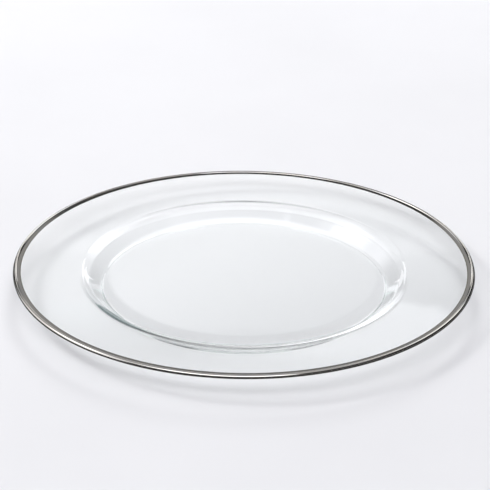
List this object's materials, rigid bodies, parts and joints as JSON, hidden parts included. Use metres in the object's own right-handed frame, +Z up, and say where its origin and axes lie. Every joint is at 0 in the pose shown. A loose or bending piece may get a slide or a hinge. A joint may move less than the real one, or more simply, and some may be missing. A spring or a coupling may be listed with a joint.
{
  "type": "charger plate",
  "caption": "Round charger plate of clear glass with a broad sloping rim, a shallow flat well and a bright metal band wrapped round its beaded edge.",
  "frame": {"origin": "middle of the foot, on the surface that the plate stands on", "axes": "+Z up, along the axis of the plate; +X and +Y lie in the plane of the surface, and the plate is round, so they have no side of their own"},
  "size_m": [0.33, 0.33, 0.018],
  "materials": {
    "clear_glass": "clear, polished by fire",
    "band_metal": "bright, platinum coloured"
  },
  "bodies": {
    "root": {"glass_plate": "clear_glass", "rim_band": "band_metal"}
  },
  "joints": []
}
